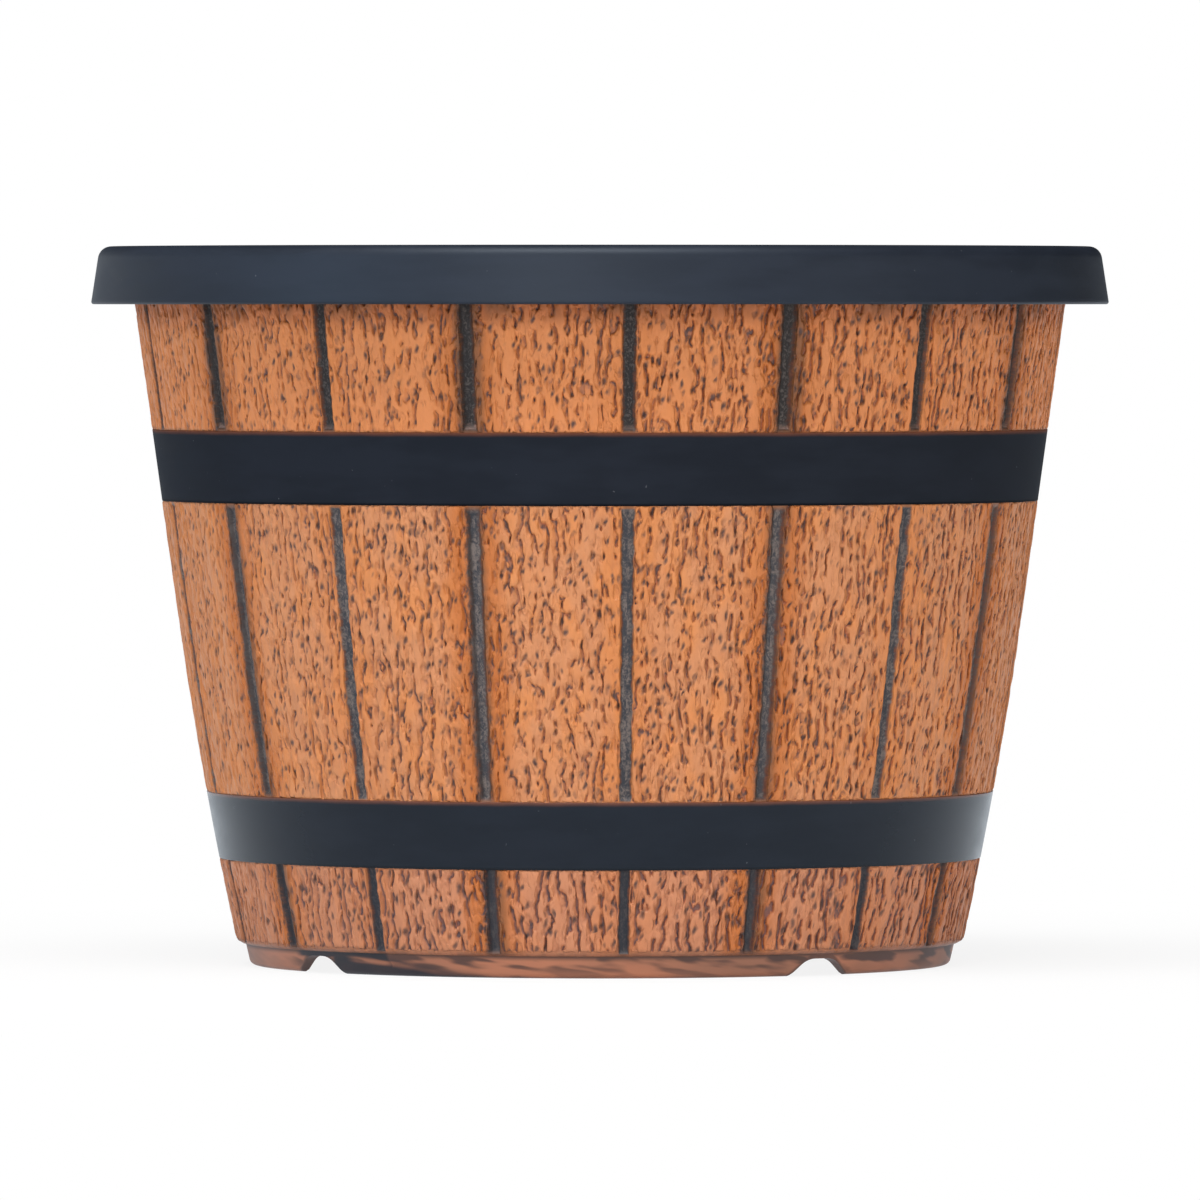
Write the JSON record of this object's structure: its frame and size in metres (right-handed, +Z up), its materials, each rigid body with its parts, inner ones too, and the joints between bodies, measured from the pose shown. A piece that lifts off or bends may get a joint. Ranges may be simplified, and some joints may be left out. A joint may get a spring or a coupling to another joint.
{
  "type": "barrel planter",
  "caption": "Round tapered tub planter shaped like a staved barrel, with a turned-down rim, inlaid hoops, a notched foot ring and drain plugs that lift out.",
  "frame": {"origin": "on the ground, under the middle of the tub", "axes": "+Z up along the tub's axis; the side that the picture shows faces -Y, with +X to the right"},
  "size_m": [0.3799, 0.38, 0.268],
  "materials": {
    "tub": "orange-brown moulded plastic with embossed wood grain, washed dark in its hollows",
    "rim": "smooth satin black plastic",
    "hoops": "smooth satin black plastic",
    "plugs": "matt black rubber"
  },
  "bodies": {
    "body": {"tub": "tub", "rim_cap": "rim", "upper_hoop": "hoops", "lower_hoop": "hoops"},
    "plug_1": {"drain_plug_1": "plugs"},
    "plug_2": {"drain_plug_2": "plugs"},
    "plug_3": {"drain_plug_3": "plugs"},
    "plug_4": {"drain_plug_4": "plugs"}
  },
  "joints": [
    {"name": "plug_1_lift", "type": "slide", "parent": "body", "child": "plug_1", "axis": [0, 0, 1], "range_m": [0, 0.022]},
    {"name": "plug_2_lift", "type": "slide", "parent": "body", "child": "plug_2", "axis": [0, 0, 1], "range_m": [0, 0.022]},
    {"name": "plug_3_lift", "type": "slide", "parent": "body", "child": "plug_3", "axis": [0, 0, 1], "range_m": [0, 0.022]},
    {"name": "plug_4_lift", "type": "slide", "parent": "body", "child": "plug_4", "axis": [0, 0, 1], "range_m": [0, 0.022]}
  ]
}
